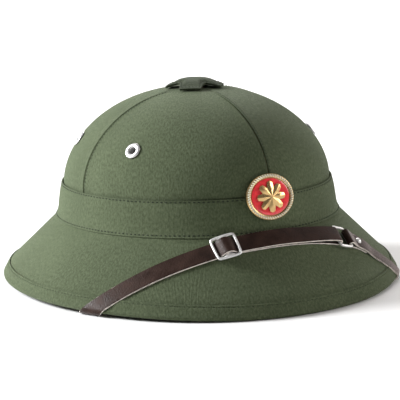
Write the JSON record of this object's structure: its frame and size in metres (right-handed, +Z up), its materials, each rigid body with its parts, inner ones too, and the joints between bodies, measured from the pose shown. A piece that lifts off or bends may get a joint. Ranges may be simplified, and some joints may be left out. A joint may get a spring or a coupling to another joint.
{
  "type": "pith helmet",
  "caption": "Cloth-covered sun helmet with a domed crown, banded foot, steep sloping brim, vent eyelets and cap, oval front badge, and a buckled leather chin strap over the brim.",
  "frame": {"origin": "on the surface that the helmet stands on, under the middle of the brim's outline", "axes": "+Z up, the front with the badge faces -Y, the wearer's left is +X"},
  "size_m": [0.29, 0.325, 0.1497],
  "materials": {
    "cloth": "matt ribbed cotton, olive green",
    "board": "pressed plant fibre, matt",
    "leather": "dark brown, smooth, with pale cut edges",
    "metal": "bright nickel plate",
    "gilt": "pale gilt",
    "enamel": "glossy red enamel"
  },
  "bodies": {
    "root": {"shell": "board", "crown_panel_front_right": "cloth", "crown_panel_front_left": "cloth", "crown_panel_back_left": "cloth", "crown_panel_back_right": "cloth", "band": "cloth", "brim_cover": "cloth", "brim_hem": "cloth", "vent_cap": "cloth", "eyelet_front_left": "metal", "eyelet_back_left": "metal", "eyelet_back_right": "metal", "eyelet_front_right": "metal", "badge_plate": "gilt", "badge_enamel": "enamel", "badge_rosette": "gilt", "chin_strap": "leather", "short_strap": "leather", "strap_slide": "metal", "strap_ring": "metal", "strap_stud": "metal", "strap_anchor_left": "metal", "strap_anchor_right": "metal"}
  },
  "joints": []
}
